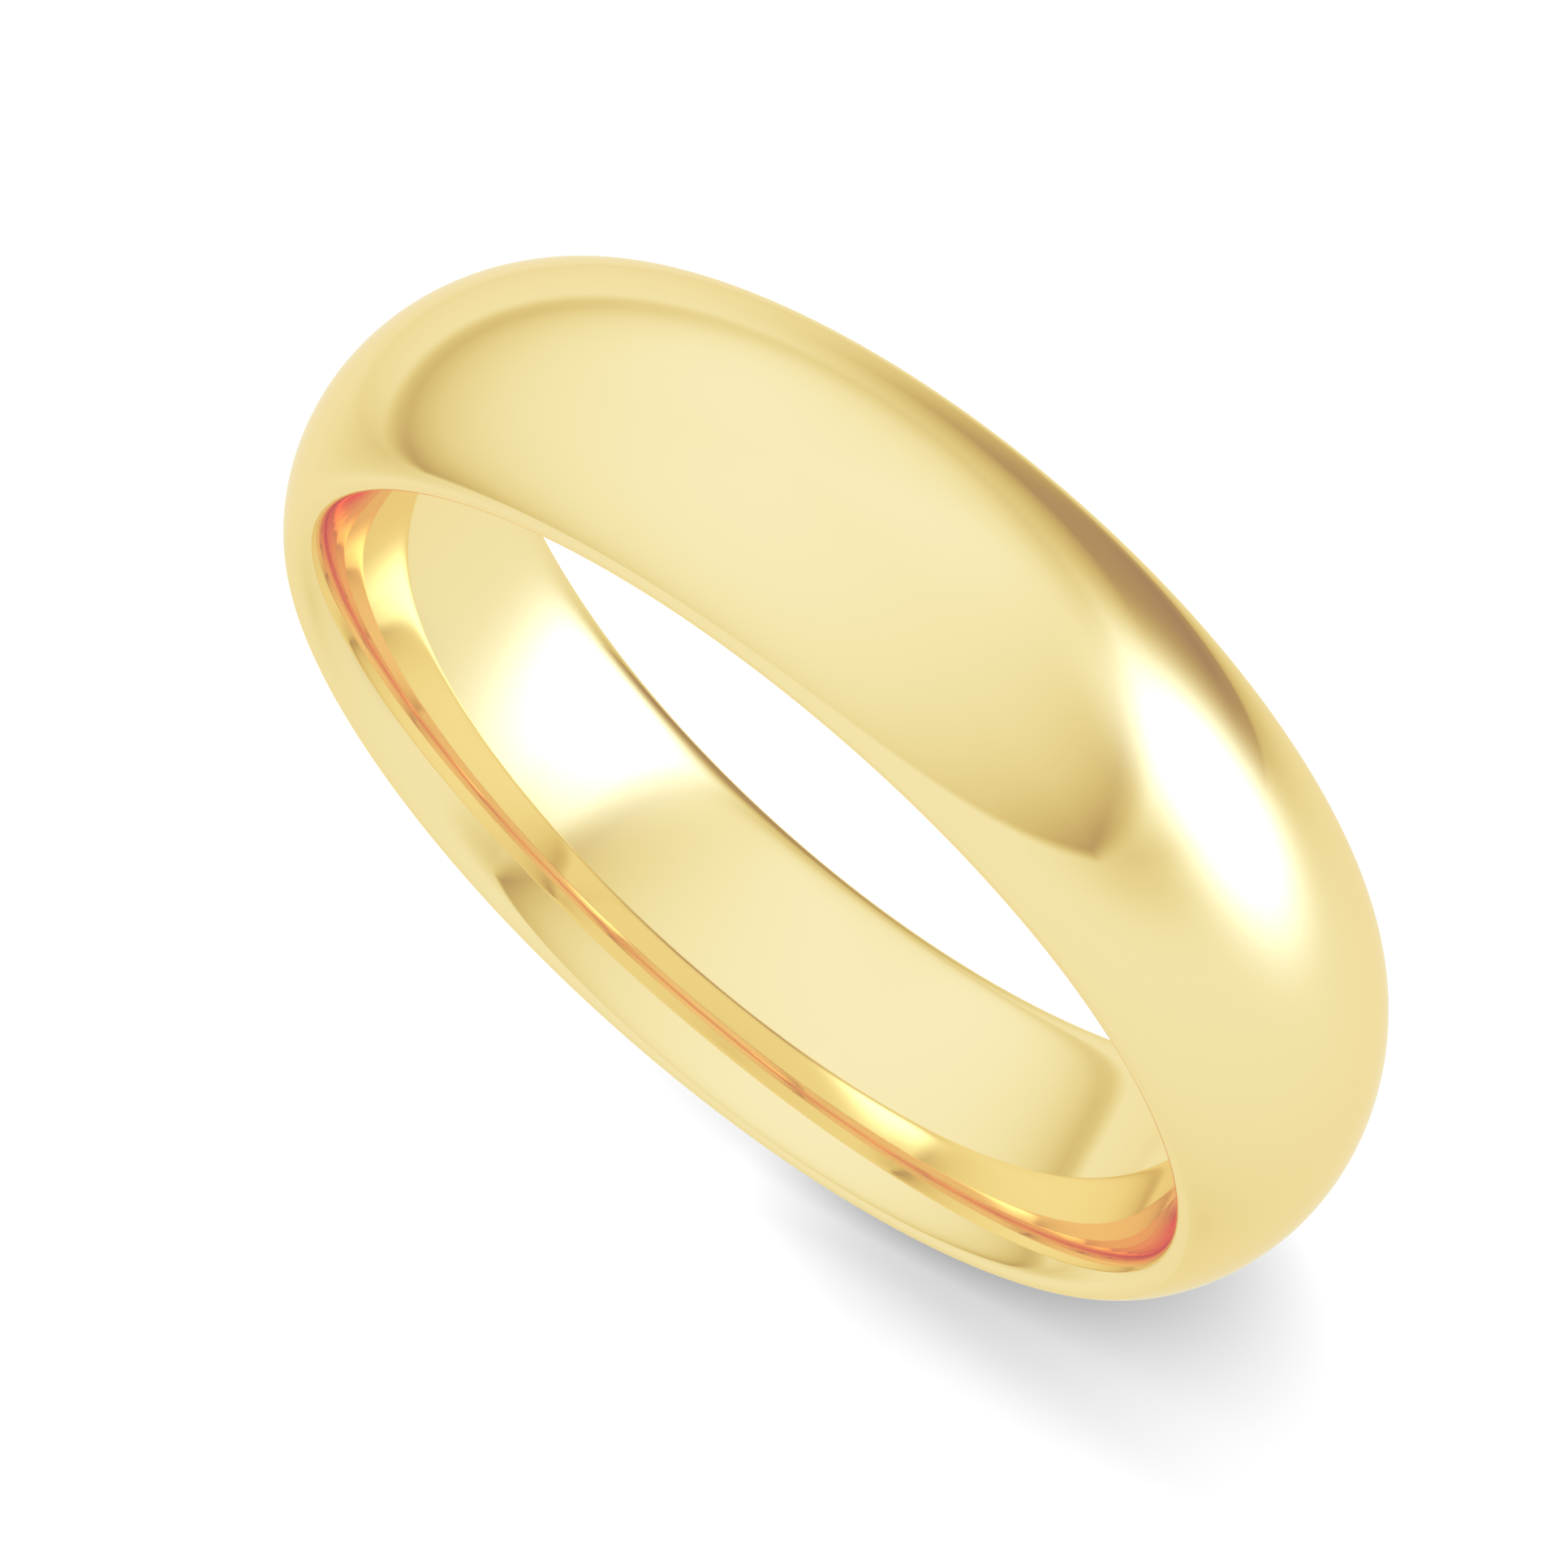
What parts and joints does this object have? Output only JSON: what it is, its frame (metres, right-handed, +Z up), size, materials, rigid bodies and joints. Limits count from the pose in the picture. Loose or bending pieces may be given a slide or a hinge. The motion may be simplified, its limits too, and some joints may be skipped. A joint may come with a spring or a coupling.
{
  "type": "wedding band",
  "caption": "Plain polished yellow gold wedding band with a domed outside and a rounded comfort-fit bore.",
  "frame": {"origin": "centre of the finger bore, halfway across the band's width", "axes": "+Y along the finger, +Z up through the top of the band, +X across; the soldered joint is at the bottom, on -Z"},
  "size_m": [0.0204, 0.005, 0.0204],
  "materials": {
    "yellow_gold": "mirror polished",
    "gold_solder": "mirror polished, filed flush"
  },
  "bodies": {
    "root": {"shank": "yellow_gold", "solder_joint": "gold_solder"}
  },
  "joints": []
}
